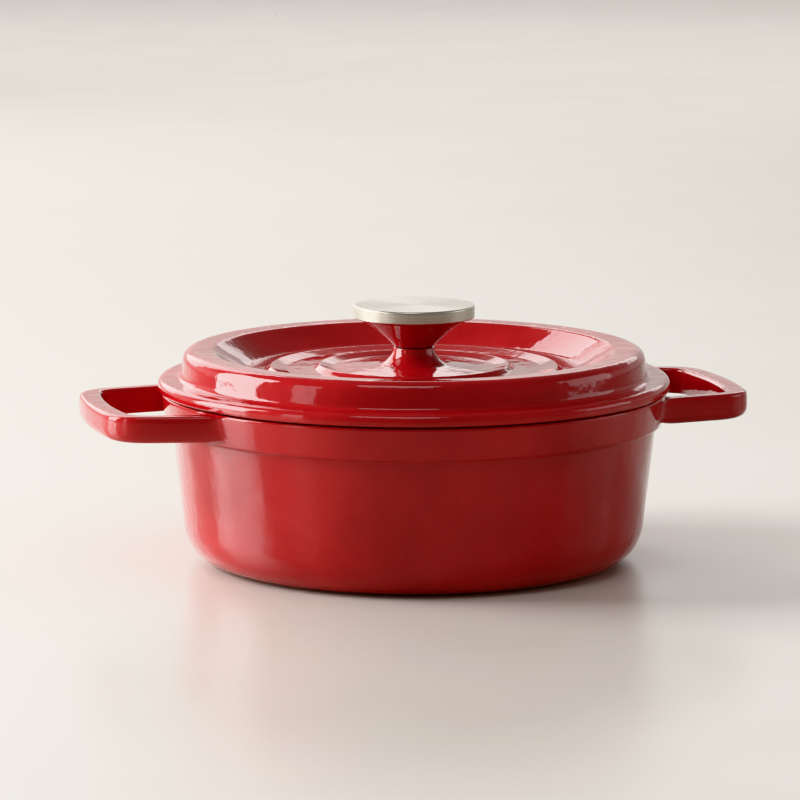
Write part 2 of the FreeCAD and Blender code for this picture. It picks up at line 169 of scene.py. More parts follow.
def turned(name, corners, closed=True, steps=TURN_STEPS, angle=2 * math.pi, levels=1):
    """A piece spun about the upright axis from an outline of (radius, height, rounding) corners."""
    points = drawn_profile(corners, closed)
    piece = start_from_point(name, (points[0].x * MM, 0, points[0].y * MM))
    for here, there in zip(points, points[1:]):
        extrude_by(((there.x - here.x) * MM, 0, (there.y - here.y) * MM))
    bpy.ops.mesh.select_all(action="SELECT")
    if closed:
        bpy.ops.mesh.edge_face_add()
        bpy.ops.mesh.delete(type="ONLY_FACE")
        bpy.ops.mesh.select_all(action="SELECT")
    bpy.ops.mesh.spin(steps=steps, angle=angle, center=(0, 0, 0), axis=(0, 0, 1))
    bpy.ops.mesh.select_all(action="SELECT")
    bpy.ops.mesh.remove_doubles(threshold=WELD)
    bpy.ops.mesh.normals_make_consistent(inside=False)
    bpy.ops.object.mode_set(mode="OBJECT")
    if levels:
        subdivide(piece, levels)
    smooth(piece)
    return piece


def apply_modifier(piece, kind, **settings):
    bpy.context.view_layer.objects.active = piece
    modifier = piece.modifiers.new(kind.title(), kind)
    for key, value in settings.items():
        setattr(modifier, key, value)
    bpy.ops.object.modifier_apply(modifier=modifier.name)


def subdivide(piece, levels):
    apply_modifier(piece, "SUBSURF", levels=levels, render_levels=levels)


def smooth(piece, angle=SMOOTH_ANGLE):
    deselect_everything()
    piece.select_set(True)
    bpy.context.view_layer.objects.active = piece
    bpy.ops.object.shade_smooth_by_angle(angle=math.radians(angle))


def select_where(piece, kind, test):
    """In edit mode, select only the vertices (VERT) or faces (FACE) whose middle passes the test."""
    bpy.ops.mesh.select_mode(type=kind)
    bpy.ops.mesh.select_all(action="DESELECT")
    bpy.ops.object.mode_set(mode="OBJECT")
    for element in piece.data.polygons if kind == "FACE" else piece.data.vertices:
        middle = element.center if kind == "FACE" else element.co
        element.select = test(middle / MM)
    bpy.ops.object.mode_set(mode="EDIT")


def finish_piece(piece, body, slot, material, *nodes):
    """A piece gets its material and the body it rides on, and the imported parts it stands in for are
    hidden. The slot is not used.
    """
    piece.data.materials.clear()
    piece.data.materials.append(material)
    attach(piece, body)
    if nodes:
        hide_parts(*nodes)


# ---------------------------------------------------------------- materials
def linear(hex_colour):
    """An sRGB hex colour as linear light."""
    channels = [int(hex_colour[i : i + 2], 16) / 255 for i in (1, 3, 5)]
    light = [c / 12.92 if c <= 0.04045 else ((c + 0.055) / 1.055) ** 2.4 for c in channels]
    return (*light, 1)


def new_material(name):
    """A material with its node tree, its shader and the piece's own coordinates."""
    material = bpy.data.materials.new(name)
    material.use_nodes = True
    tree = material.node_tree
    place = add_node(tree, "TexCoord").outputs["Object"]
    return material, tree, tree.nodes["Principled BSDF"], place


def connect(tree, source, socket):
    """A link into a socket from an output, or from the first live output of a node."""
    if isinstance(source, bpy.types.Node):
        source = next(output for output in source.outputs if output.enabled)
    tree.links.new(source, socket)


def add_node(tree, kind, settings=None, links=None):
    """A node with its settings, by property, by input or as the stops of a colour ramp, and with
    what is linked into its inputs."""
    node = tree.nodes.new(f"ShaderNode{kind}")
    for key, value in (settings or {}).items():
        if key == "stops":
            for stop, (position, colour) in zip(node.color_ramp.elements, value):
                stop.position = position
                stop.color = linear(colour)
        elif isinstance(key, str) and hasattr(node, key):
            setattr(node, key, value)
        else:
            node.inputs[key].default_value = value
    for key, source in (links or {}).items():
        connect(tree, source, node.inputs[key])
    return node


def finish_shader(tree, shader, colour, roughness, normal):
    connect(tree, colour, shader.inputs["Base Color"])
    connect(tree, roughness, shader.inputs["Roughness"])
    connect(tree, normal, shader.inputs["Normal"])


def per(size_mm):
    """The scale of a pattern whose lumps or cells are about the given size."""
    return 1 / (size_mm * MM)


COLOUR_MIX = {"data_type": "RGBA"}
MIX_SHARE, MIX_GROUND, MIX_COVER = 0, 6, 7  # the inputs of a colour mix, by number
NOISE_RANGE = {"From Min": 0.2, "From Max": 0.8}  # nearly all of a noise lies between these
GLASS_IOR = 1.52
LEVEL_REACH = 0.3  # mm either side of a level that still counts as lying on it
PINHOLE_SPACING, PINHOLE_RADIUS, PIT_RADIUS = 30, 0.5, 0.6  # mm
DOT_CORE = 0.6  # the share of a dot's radius inside which it has its full strength
MATT_GAIN = 0.42  # the roughness that bare ground coat and scuffs add to that of the gloss
RING_GLOSS = 0.12  # how far the rings of a turned metal differ in roughness


def red_vitreous_enamel():
    """Glass enamel fired on iron. The clouded red gives it depth, the slow waves bend the window's
    reflection as poured glass does, and the fine peel and pinholes break up the hard gloss. The rim
    of the pot and the seat of the lid on it keep their matt dark ground coat, and the flat base is
    scuffed by the stove."""
    material, tree, shader, place = new_material("red_vitreous_enamel")
    shader.inputs["IOR"].default_value = GLASS_IOR

    cloud = add_node(tree, "TexNoise", {"Scale": per(55), "Detail": 3}, {"Vector": place})
    clouded = {"stops": [(0.35, "#991E21"), (0.65, "#AD2A2D")]}
    red = add_node(tree, "ValToRGB", clouded, {"Fac": cloud})
    mottle = add_node(tree, "TexNoise", {"Scale": per(5), "Detail": 2}, {"Vector": place})
    mottle = add_node(tree, "MapRange", {**NOISE_RANGE, "To Min": 0, "To Max": 0.22}, {"Value": mottle})
    settings = {**COLOUR_MIX, MIX_COVER: linear("#8A181B")}
    red = add_node(tree, "Mix", settings, {MIX_SHARE: mottle, MIX_GROUND: red})

    cells = add_node(tree, "TexVoronoi", {"Scale": per(PINHOLE_SPACING)}, {"Vector": place})
    edge = PINHOLE_RADIUS / PINHOLE_SPACING
    settings = {"From Min": edge, "From Max": DOT_CORE * edge}
    pinhole = add_node(tree, "MapRange", settings, {"Value": cells})
    settings = {**COLOUR_MIX, MIX_COVER: linear("#5E0B0F")}
    red = add_node(tree, "Mix", settings, {MIX_SHARE: pinhole, MIX_GROUND: red})

    height = add_node(tree, "SeparateXYZ", None, {"Vector": place}).outputs["Z"]
    settings = {"operation": "COMPARE", 1: 0, 2: LEVEL_REACH * MM}
    on_base = add_node(tree, "Math", settings, {0: height})
    scuffs = add_node(tree, "TexNoise", {"Scale": per(2), "Detail": 4}, {"Vector": place})
    scuffs = add_node(tree, "MapRange", {**NOISE_RANGE, "To Min": 0, "To Max": 1}, {"Value": scuffs})
    scuffed = add_node(tree, "Math", {"operation": "MULTIPLY"}, {0: on_base, 1: scuffs})
    settings = {**COLOUR_MIX, MIX_COVER: linear("#5E1114")}
    red = add_node(tree, "Mix", settings, {MIX_SHARE: scuffed, MIX_GROUND: red})

    settings = {"operation": "COMPARE", 1: RIM_TOP * MM, 2: LEVEL_REACH * MM}
    ground_coat = add_node(tree, "Math", settings, {0: height})
    settings = {**COLOUR_MIX, MIX_COVER: linear("#1C1A1A")}
    colour = add_node(tree, "Mix", settings, {MIX_SHARE: ground_coat, MIX_GROUND: red})

    gloss = add_node(tree, "TexNoise", {"Scale": per(28), "Detail": 3}, {"Vector": place})
    gloss = add_node(tree, "MapRange", {**NOISE_RANGE, "To Min": 0.05, "To Max": 0.1}, {"Value": gloss})
    for matt in (ground_coat, scuffed):
        settings = {"operation": "MULTIPLY_ADD", 1: MATT_GAIN}
        gloss = add_node(tree, "Math", settings, {0: matt, 2: gloss})

    waves = add_node(tree, "TexNoise", {"Scale": per(17), "Detail": 2}, {"Vector": place})
    waves = add_node(tree, "Bump", {"Distance": 0.42 * MM}, {"Height": waves})
    peel = add_node(tree, "TexNoise", {"Scale": per(5), "Detail": 2}, {"Vector": place})
    peel = add_node(tree, "Bump", {"Distance": 0.09 * MM}, {"Height": peel, "Normal": waves})
    edge = PIT_RADIUS / PINHOLE_SPACING
    settings = {"From Min": edge, "From Max": DOT_CORE * edge}
    pit = add_node(tree, "MapRange", settings, {"Value": cells})
    pits = add_node(tree, "Bump", {"Distance": -0.02 * MM}, {"Height": pit, "Normal": peel})
    finish_shader(tree, shader, colour, gloss, pits)
    return material


def cream_vitreous_enamel():
    """The light food-side enamel: warm cream, faintly clouded, with the fine tan specks of its frit."""
    material, tree, shader, place = new_material("cream_vitreous_enamel")
    shader.inputs["IOR"].default_value = GLASS_IOR

    cloud = add_node(tree, "TexNoise", {"Scale": per(40), "Detail": 3}, {"Vector": place})
    clouded = {"stops": [(0.2, "#E2D7BF"), (0.8, "#EFE8D8")]}
    cream = add_node(tree, "ValToRGB", clouded, {"Fac": cloud})
    for spacing, radius, tan in ((4.5, 0.5, "#B49E7C"), (11, 0.7, "#8A7458")):
        cells = add_node(tree, "TexVoronoi", {"Scale": per(spacing)}, {"Vector": place})
        edge = radius / spacing
        settings = {"From Min": edge, "From Max": DOT_CORE * edge}
        dot = add_node(tree, "MapRange", settings, {"Value": cells})
        settings = {**COLOUR_MIX, MIX_COVER: linear(tan)}
        cream = add_node(tree, "Mix", settings, {MIX_SHARE: dot, MIX_GROUND: cream})

    gloss = add_node(tree, "TexNoise", {"Scale": per(22), "Detail": 3}, {"Vector": place})
    gloss = add_node(tree, "MapRange", {**NOISE_RANGE, "To Min": 0.1, "To Max": 0.17}, {"Value": gloss})
    waves = add_node(tree, "TexNoise", {"Scale": per(14), "Detail": 1}, {"Vector": place})
    waves = add_node(tree, "Bump", {"Distance": 0.15 * MM}, {"Height": waves})
    peel = add_node(tree, "TexNoise", {"Scale": per(2.5), "Detail": 1}, {"Vector": place})
    peel = add_node(tree, "Bump", {"Distance": 0.01 * MM}, {"Height": peel, "Normal": waves})
    finish_shader(tree, shader, cream, gloss, peel)
    return material


def turned_metal(name, dark, light, roughness, anisotropy, ring_size, ring_depth):
    """Metal brushed while it turned: fine rings round its axis, which draw each highlight out across
    them, over a soft smeary tarnish. The rings are drawn coarser than real ones, so that they show."""
    material, tree, shader, place = new_material(name)
    shader.inputs["Metallic"].default_value = 1
    shader.inputs["Anisotropic"].default_value = anisotropy

    grain = add_node(tree, "VectorMath", {"operation": "CROSS_PRODUCT", 1: (0, 0, 1)}, {0: place})
    grain = add_node(tree, "VectorMath", {"operation": "NORMALIZE"}, {0: grain})
    connect(tree, grain, shader.inputs["Tangent"])

    parts = add_node(tree, "SeparateXYZ", None, {"Vector": place}).outputs
    flat = add_node(tree, "CombineXYZ", None, {"X": parts["X"], "Y": parts["Y"]})
    radius = add_node(tree, "VectorMath", {"operation": "LENGTH"}, {0: flat})
    section = add_node(tree, "CombineXYZ", None, {"X": radius, "Y": parts["Z"]})
    rings = add_node(tree, "TexNoise", {"Scale": per(ring_size), "Detail": 3}, {"Vector": section})
    metal = add_node(tree, "ValToRGB", {"stops": [(0.3, dark), (0.7, light)]}, {"Fac": rings})
    smear = add_node(tree, "TexNoise", {"Scale": per(9), "Detail": 3}, {"Vector": place})
    smear = add_node(tree, "MapRange", {**NOISE_RANGE, "To Min": 0, "To Max": 0.3}, {"Value": smear})
    settings = {**COLOUR_MIX, MIX_COVER: linear(dark)}
    metal = add_node(tree, "Mix", settings, {MIX_SHARE: smear, MIX_GROUND: metal})

    settings = {"operation": "MULTIPLY_ADD", 1: RING_GLOSS, 2: roughness - RING_GLOSS / 2}
    brushed = add_node(tree, "Math", settings, {0: rings})
    ridges = add_node(tree, "Bump", {"Distance": ring_depth * MM}, {"Height": rings})
    finish_shader(tree, shader, metal, brushed, ridges)
    return material


def zinc_plated_steel():
    """Bright zinc: crystals of slightly different greys, a blue cast and a little white bloom. The
    crystals are drawn coarser than real ones, so that they show."""
    material, tree, shader, place = new_material("zinc_plated_steel")
    shader.inputs["Metallic"].default_value = 1

    crystals = add_node(tree, "TexVoronoi", {"Scale": per(0.7)}, {"Vector": place})
    grey = add_node(tree, "RGBToBW", None, {"Color": crystals.outputs["Color"]})
    greys = {"stops": [(0.1, "#A9AFB6"), (0.9, "#C4C8CC")]}
    zinc = add_node(tree, "ValToRGB", greys, {"Fac": grey})
    bloom = add_node(tree, "TexNoise", {"Scale": per(3), "Detail": 3}, {"Vector": place})
    bloom = add_node(tree, "MapRange", {**NOISE_RANGE, "To Min": 0, "To Max": 0.35}, {"Value": bloom})
    settings = {**COLOUR_MIX, MIX_COVER: linear("#D9DAD8")}
    zinc = add_node(tree, "Mix", settings, {MIX_SHARE: bloom, MIX_GROUND: zinc})

    gloss = add_node(tree, "TexNoise", {"Scale": per(2), "Detail": 2}, {"Vector": place})
    gloss = add_node(tree, "MapRange", {**NOISE_RANGE, "To Min": 0.26, "To Max": 0.42}, {"Value": gloss})
    facets = add_node(tree, "Bump", {"Distance": 0.006 * MM}, {"Height": grey})
    finish_shader(tree, shader, zinc, gloss, facets)
    return material


def black_silicone():
    """Moulded silicone: near black and matt, so that it reads as a dark line under the knob, with the
    fine bloom and grain that the mould leaves."""
    material, tree, shader, place = new_material("black_silicone")
    bloom = add_node(tree, "TexNoise", {"Scale": per(4), "Detail": 3}, {"Vector": place})
    blacks = {"stops": [(0.3, "#141414"), (0.75, "#262625")]}
    black = add_node(tree, "ValToRGB", blacks, {"Fac": bloom})
    gloss = add_node(tree, "MapRange", {**NOISE_RANGE, "To Min": 0.5, "To Max": 0.68}, {"Value": bloom})
    grain = add_node(tree, "TexNoise", {"Scale": per(0.4), "Detail": 2}, {"Vector": place})
    grain = add_node(tree, "Bump", {"Distance": 0.01 * MM}, {"Height": grain})
    finish_shader(tree, shader, black, gloss, grain)
    return material


def satin_pale_table():
    """A painted board: pale and plain, with a satin sheen that varies a little over its slow rolling."""
    material, tree, shader, place = new_material("satin_pale_table")
    cloud = add_node(tree, "TexNoise", {"Scale": per(300), "Detail": 3}, {"Vector": place})
    pales = {"stops": [(0.1, "#CDC8C0"), (0.9, "#D6D2CB")]}
    pale = add_node(tree, "ValToRGB", pales, {"Fac": cloud})
    gloss = add_node(tree, "TexNoise", {"Scale": per(60), "Detail": 3}, {"Vector": place})
    gloss = add_node(tree, "MapRange", {**NOISE_RANGE, "To Min": 0.27, "To Max": 0.33}, {"Value": gloss})
    rolling = add_node(tree, "TexNoise", {"Scale": per(90), "Detail": 1}, {"Vector": place})
    rolling = add_node(tree, "Bump", {"Distance": 0.05 * MM}, {"Height": rolling})
    finish_shader(tree, shader, pale, gloss, rolling)
    return material


RED = red_vitreous_enamel()
CREAM = cream_vitreous_enamel()
# Warm grey with rings so shallow that the cap reads as one brushed disc.
STAINLESS = turned_metal(
    "spun_stainless",
    dark="#B3ADA2",
    light="#C9C4BA",
    roughness=0.26,
    anisotropy=0.6,
    ring_size=0.5,
    ring_depth=0.0015,
)
# Yellow and plainly machined, as a part that no one sees.
BRASS = turned_metal(
    "turned_brass",
    dark="#B48D48",
    light="#D9B86C",
    roughness=0.3,
    anisotropy=0.5,
    ring_size=0.4,
    ring_depth=0.008,
)
ZINC = zinc_plated_steel()
SILICONE = black_silicone()

# ---------------------------------------------------------------- pot
# Outline of the outside, by radius and height in millimetres.
BASE_FLAT_RADIUS = 97
BASE_RADIUS, BASE_ROUND = 117.6, 20
WALL_TOP_RADIUS, BAND_BOTTOM = 126, 72.6
BAND_LOW_RADIUS, BAND_ROUND = 129.2, 1.9
RIM_RADIUS, RIM_ROUND = 131.8, 1.5
IRON_MOUTH_RADIUS, IRON_FOOT_RADIUS, IRON_FLOOR_ROUND = 124.6, 114, 15
ENAMEL_THICK = 0.4

# Loop handle, seen from above. Its outer and inner edges each run from the band to a rounded corner
# and on in a shallow bow.
HANDLE_BOTTOM, HANDLE_TOP = 75, 88.9
HANDLE_WIDTH = 11.8
END_BOW = 230
EDGE_ROUND, LOW_OUTER_ROUND = 2, 4
OUTER_EDGE = {"root": (112.3, 60.6), "corner_half": 49.8, "rounding": 21, "bow": END_BOW}
INNER_EDGE = {"root": (117.3, 50.2), "corner_half": 43.3, "rounding": 11, "bow": END_BOW - HANDLE_WIDTH}
ARM_STARTS = (0.17, 0.13)  # how far along each arm edge its first section lies, clear of the band
ALONG_ARM = (0, 0.25, 0.5, 0.8)  # shares of each stretch of a handle at which it has a section
ROUND_CORNER = (0, 0.25, 0.5, 0.75, 1)
ALONG_BOW = (0.72, 0.36, 0)
QUARTER_STEPS = 36
ROOT_ANGLES = (20, 30)  # the stretch of band, in degrees from +X, that the arm grows out of
ROOT_HEIGHTS = (74.6, 78, 82, 86, 89.3)
ROOT_CUTS = 2  # rings in the skin that leads from the band into the arm
MIRROR_WELD = 1e-5  # m
CLEAR_OF_CUTS = 10  # mm from the planes where the quarters of the pot meet
RING_REACH = 0.2  # mm from the level of an open ring within which its edges lie
BASE_RING_SHARE = 0.6  # the one ring between the edge of the flat base and its middle


def band_radius(height):
    share = (height - BAND_BOTTOM) / (RIM_TOP - BAND_BOTTOM)
    return BAND_LOW_RADIUS + (RIM_RADIUS - BAND_LOW_RADIUS) * share


def handle_edge_points(root, corner_half, rounding, bow, start_share):
    """Places along one edge of a handle, seen from above, from its root to the middle of its end."""
    bow_centre = HANDLE_REACH - END_BOW
    corner = Vector((bow_centre + math.sqrt(bow**2 - corner_half**2), corner_half))
    root = Vector(root)
    into = (corner - root).normalized()
    first = root + (corner - root) * start_share
    tangent = Vector((corner.y, bow_centre - corner.x)).normalized()
    turn = into.angle_signed(tangent)
    setback = rounding * math.tan(abs(turn) / 2)
    start = corner - into * setback
    centre = start + Vector((into.y, -into.x)) * rounding
    points = [first.lerp(start, share) for share in ALONG_ARM]
    for share in ROUND_CORNER:
        spoke = (start - centre).to_3d()
        spoke.rotate(Euler((0, 0, -abs(turn) * share)))
        points.append(centre + spoke.to_2d())
    end_half = points[-1].y
    for share in ALONG_BOW:
        half = end_half * share
        points.append(Vector((bow_centre + math.sqrt(bow**2 - half**2), half)))
    return points


def quarter_shell():
    """A quarter turn of the outside of the pot, with a hole where the arm of a handle grows out."""
    band = [(band_radius(height), height, 0) for height in ROOT_HEIGHTS[:-1]]
    outline = [
        (BASE_FLAT_RADIUS, 0, 0),
        (BASE_RADIUS, 0, BASE_ROUND),
        (WALL_TOP_RADIUS, BAND_BOTTOM, 1),
        (BAND_LOW_RADIUS, BAND_BOTTOM, BAND_ROUND),
        *band,
        (RIM_RADIUS, RIM_TOP, RIM_ROUND),
        (IRON_MOUTH_RADIUS, RIM_TOP, 0),
    ]
    quarter = {"steps": QUARTER_STEPS, "angle": -math.pi / 2, "levels": 0}
    shell = turned("pot_red_enamel", outline, closed=False, **quarter)
    bpy.ops.object.mode_set(mode="EDIT")
    select_where(shell, "FACE", in_arm_root)
    bpy.ops.mesh.delete(type="FACE")
    bpy.ops.object.mode_set(mode="OBJECT")
    return shell


def in_arm_root(place):
    angle = math.degrees(math.atan2(place.y, place.x))
    between = ROOT_ANGLES[0] < angle < ROOT_ANGLES[1]
    return between and ROOT_HEIGHTS[0] < place.z < ROOT_HEIGHTS[-1] and place.xy.length > WALL_TOP_RADIUS


def arm_section():
    """Outline of a handle's section as (share of its width, height): three points round each corner."""
    middle = (HANDLE_BOTTOM + HANDLE_TOP) / 2
    corners = [
        (0.5, HANDLE_BOTTOM, LOW_OUTER_ROUND),
        (0.5, HANDLE_TOP, EDGE_ROUND),
        (-0.5, HANDLE_TOP, EDGE_ROUND),
        (-0.5, HANDLE_BOTTOM, EDGE_ROUND),
    ]
    sides = [(0.5, middle), (0, HANDLE_TOP), (-0.5, middle), (0, HANDLE_BOTTOM)]
    points = []
    for (share, height, rounding), side in zip(corners, sides):
        across, up = math.copysign(1, -share), math.copysign(1, middle - height)
        level = rounding / HANDLE_WIDTH
        on_level = (share + across * level, height)
        on_side = (share, height + up * rounding)
        bulge = 1 - math.sqrt(0.5)
        on_round = (share + across * level * bulge, height + up * rounding * bulge)
        first, last = (on_level, on_side) if across * up < 0 else (on_side, on_level)
        points += [first, on_round, last, side]
    return points


def handle_quarter():
    """Half of one handle: its section, drawn at the band and extruded along the arm and the bow."""
    outer = handle_edge_points(**OUTER_EDGE, start_share=ARM_STARTS[0])
    inner = handle_edge_points(**INNER_EDGE, start_share=ARM_STARTS[1])
    stations = [((a + b) / 2, a - b) for a, b in zip(outer, inner)]
    centre, across = stations[0]
    places = [(centre + across * share).to_3d() + Vector((0, 0, up)) for share, up in arm_section()]
    handle = start_from_point("handle", places[0] * MM)
    for here, there in zip(places, places[1:]):
        extrude_by((there - here) * MM)
    bpy.ops.mesh.select_all(action="SELECT")
    bpy.ops.mesh.edge_face_add()
    bpy.ops.mesh.delete(type="ONLY_FACE")
    bpy.ops.mesh.select_all(action="SELECT")
    for (centre, across), (next_centre, next_across) in zip(stations, stations[1:]):
        extrude_by((next_centre - centre).to_3d() * MM)
        pivot = next_centre.to_3d() * MM
        turn = across.angle_signed(next_across)
        bpy.ops.transform.rotate(value=turn, orient_axis="Z", center_override=pivot)
        grow = next_across.length / across.length
        bpy.ops.transform.resize(value=(grow, grow, 1), center_override=pivot)
    bpy.ops.object.mode_set(mode="OBJECT")
    return handle


def select_open_edges(piece, test):
    """In edit mode, select only the edges that have one face and whose middle passes the test."""
    bpy.ops.object.mode_set(mode="EDIT")
    bpy.ops.mesh.select_mode(type="EDGE")
    bpy.ops.mesh.select_all(action="DESELECT")
    bpy.ops.object.mode_set(mode="OBJECT")
    mesh = piece.data
    uses = Counter(key for face in mesh.polygons for key in face.edge_keys)
    for edge in mesh.edges:
        middle = sum((mesh.vertices[i].co for i in edge.vertices), Vector()) / 2
        edge.select = uses[edge.key] == 1 and test(middle / MM)
    bpy.ops.object.mode_set(mode="EDIT")


def pot_outside():
    shell = quarter_shell()
    handle = handle_quarter()
    deselect_everything()
    handle.select_set(True)
    shell.select_set(True)
    bpy.context.view_layer.objects.active = shell
    bpy.ops.object.join()
    bpy.ops.object.mode_set(mode="EDIT")

    def at_root(place):
        """On the rim of the hole or on the arm's first section: clear of the quarter's other edges."""
        off_rings = RING_REACH < place.z < RIM_TOP - RING_REACH
        return off_rings and min(place.x, place.y) > CLEAR_OF_CUTS

    select_open_edges(shell, at_root)
    bpy.ops.mesh.bridge_edge_loops(number_cuts=ROOT_CUTS, interpolation="SURFACE", smoothness=1)
    bpy.ops.mesh.select_all(action="SELECT")
    bpy.ops.mesh.normals_make_consistent(inside=False)
    bpy.ops.object.mode_set(mode="OBJECT")
    apply_modifier(shell, "MIRROR", use_axis=(True, True, False), merge_threshold=MIRROR_WELD)
    subdivide(shell, 2)
    close_base(shell)
    line_inner_wall(shell)
    bpy.ops.mesh.select_all(action="SELECT")
    bpy.ops.mesh.normals_make_consistent(inside=False)
    smooth(shell)
    return shell


def extrude_ring_along(places):
    """Carry the selected ring on through (radius, height) places, and close it at the axis."""
    for (radius, height), (next_radius, next_height) in zip(places, places[1:]):
        extrude_by((0, 0, (next_height - height) * MM))
        if next_radius == 0:
            bpy.ops.mesh.merge(type="CENTER")
            return
        grow = next_radius / radius
        bpy.ops.transform.resize(value=(grow, grow, 1), center_override=(0, 0, 0))


def close_base(shell):
    select_open_edges(shell, lambda place: place.z < RING_REACH)
    extrude_ring_along([(BASE_FLAT_RADIUS, 0), (BASE_FLAT_RADIUS * BASE_RING_SHARE, 0), (0, 0)])


def line_inner_wall(shell):
    """The bare inner wall and floor of the iron, which the light enamel covers."""
    select_open_edges(shell, lambda place: place.z > RIM_TOP - RING_REACH)
    mouth, middle = Vector((IRON_MOUTH_RADIUS, RIM_TOP)), Vector((0, CAVITY_FLOOR))
    foot = rounded_corner(mouth, Vector((IRON_FOOT_RADIUS, CAVITY_FLOOR)), middle, IRON_FLOOR_ROUND)
    extrude_ring_along([tuple(place) for place in (mouth, *foot, middle)])


pot = pot_outside()
finish_piece(pot, POT, "red_enamel", RED, "pot_casting")

CAVITY_FOOT_RADIUS = IRON_FOOT_RADIUS - ENAMEL_THICK
lining = turned(
    "pot_cream_enamel",
    [
        (0, CAVITY_FLOOR + ENAMEL_THICK, 0),
        (CAVITY_FOOT_RADIUS, CAVITY_FLOOR + ENAMEL_THICK, IRON_FLOOR_ROUND - ENAMEL_THICK),
        (IRON_MOUTH_RADIUS - ENAMEL_THICK, RIM_TOP, 0.3),
        (IRON_MOUTH_RADIUS, RIM_TOP, 0),
        (IRON_FOOT_RADIUS, CAVITY_FLOOR, IRON_FLOOR_ROUND),
        (0, CAVITY_FLOOR, 0),
    ],
)
finish_piece(lining, POT, "cream_enamel", CREAM, "pot_interior_enamel")

# ---------------------------------------------------------------- lid
# Outlines are rows of radius, height and rounding in millimetres. A row that ends with a radius and a
# side runs on to the next one in an arc.
SCREW_HOLE_RADIUS = 3.3
LINING_STOP, LINING_END_RADIUS = 86.4, 119.2
SEAT_OUTER_RADIUS, SKIRT_RADIUS, SKIRT_INNER_RADIUS = 128.8, 123, 119.4
FLANGE_TOP, FLANGE_BOTTOM = 97, 90.7
UNDERSIDE, UNDER_CROWN = FLAT_TOP + ENAMEL_THICK, 107.7

lid_outline = [
    (SCREW_HOLE_RADIUS, BOSS_TOP, 0),
    (10.4, BOSS_TOP, 0.6, 11, 1),
    (17.6, 103.2, 0),
    (42.5, 101.6, 1),
    (49.4, 103.6, 1),
    (51.8, 101, 1),
    (66.5, 101, 1),
    (74.8, 102.7, 1),
    (77.2, 100.5, 1),
    (87.6, 100.5, 6),
    (104.4, 110.9, 4),
    (119.8, 111.5, 5),
    (121.6, FLANGE_TOP, 2.6),
    (FLANGE_RADIUS, FLANGE_TOP, 3),
    (FLANGE_RADIUS, FLANGE_BOTTOM, 1.2),
    (SEAT_OUTER_RADIUS, FLANGE_BOTTOM, 0.2),
    (SEAT_OUTER_RADIUS, RIM_TOP, 0.2),
    (SKIRT_RADIUS, RIM_TOP, 0),
    (SKIRT_RADIUS, SKIRT_BOTTOM, 1),
    (SKIRT_INNER_RADIUS, SKIRT_BOTTOM, 1),
    (116, UNDER_CROWN, 3),
    (106.3, UNDER_CROWN, 3),
    (88.9, UNDERSIDE, 3),
    (SCREW_HOLE_RADIUS, UNDERSIDE, 0),
]
lid = turned("lid_red_enamel", lid_outline)
finish_piece(lid, LID, "red_enamel", RED, "lid_casting")

lid_lining = turned(
    "lid_cream_enamel",
    [
        (SCREW_HOLE_RADIUS, UNDERSIDE, 0),
        (SCREW_HOLE_RADIUS, FLAT_TOP, 0),
        (89, FLAT_TOP, 3.4),
        (106.4, UNDER_CROWN - ENAMEL_THICK, 2.6),
        (115.6, UNDER_CROWN - ENAMEL_THICK, 2.6),
        (LINING_END_RADIUS - ENAMEL_THICK, LINING_STOP, 0),
        (LINING_END_RADIUS, LINING_STOP, 0),
        (116, UNDER_CROWN, 3),
        (106.3, UNDER_CROWN, 3),
        (88.9, UNDERSIDE, 3),
    ],
)
finish_piece(lid_lining, LID, "cream_enamel", CREAM, "lid_interior_enamel")

# ---------------------------------------------------------------- knob
INSERT_RADIUS, THREAD_RADIUS, LEAD_IN = 5, 3, 0.5
INSERT_STEPS = 48
CONE_FOOT_RADIUS, CONE_BELL, CONE_HEAD_RADIUS, CONE_LIP_HEIGHT = 10.4, 60, 28.8, 127.2
PLUG_RADIUS, PLUG_HEIGHT = 30.2, 2  # the head of the cone that the cap is pressed over
CAP_INNER_RADIUS, CAP_THICK = 30.4, 1.2

gasket = turned(
    "knob_gasket_silicone",
    [
        (SCREW_HOLE_RADIUS, BOSS_TOP, 0),
        (GASKET_RADIUS, BOSS_TOP, 0.2),
        (GASKET_RADIUS, CONE_BOTTOM, 0.2),
        (SCREW_HOLE_RADIUS, CONE_BOTTOM, 0),
    ],
    levels=0,
)
finish_piece(gasket, LID, "silicone", SILICONE, "knob_gasket")

insert = turned(
    "knob_insert_brass",
    [
        (THREAD_RADIUS + LEAD_IN, CONE_BOTTOM, 0),
        (INSERT_RADIUS, CONE_BOTTOM, 0),
        (INSERT_RADIUS, INSERT_TOP, 0),
        (THREAD_RADIUS, INSERT_TOP, 0),
        (THREAD_RADIUS, CONE_BOTTOM + LEAD_IN, 0),
    ],
    steps=INSERT_STEPS,
    levels=0,
)
finish_piece(insert, LID, "brass", BRASS, "knob_insert")

cone = turned(
    "knob_cone_enamel",
    [
        (0, CONE_BOTTOM, 0),
        (CONE_FOOT_RADIUS, CONE_BOTTOM, 0.6, CONE_BELL, -1),
        (CONE_HEAD_RADIUS, CONE_LIP_HEIGHT, 0.4),
        (CONE_HEAD_RADIUS, CAP_BOTTOM, 0),
        (PLUG_RADIUS, CAP_BOTTOM, 0),
        (PLUG_RADIUS, CAP_BOTTOM + PLUG_HEIGHT, 0),
        (0, CAP_BOTTOM + PLUG_HEIGHT, 0),
    ],
)
finish_piece(cone, LID, "knob_enamel", RED, "knob_cone")

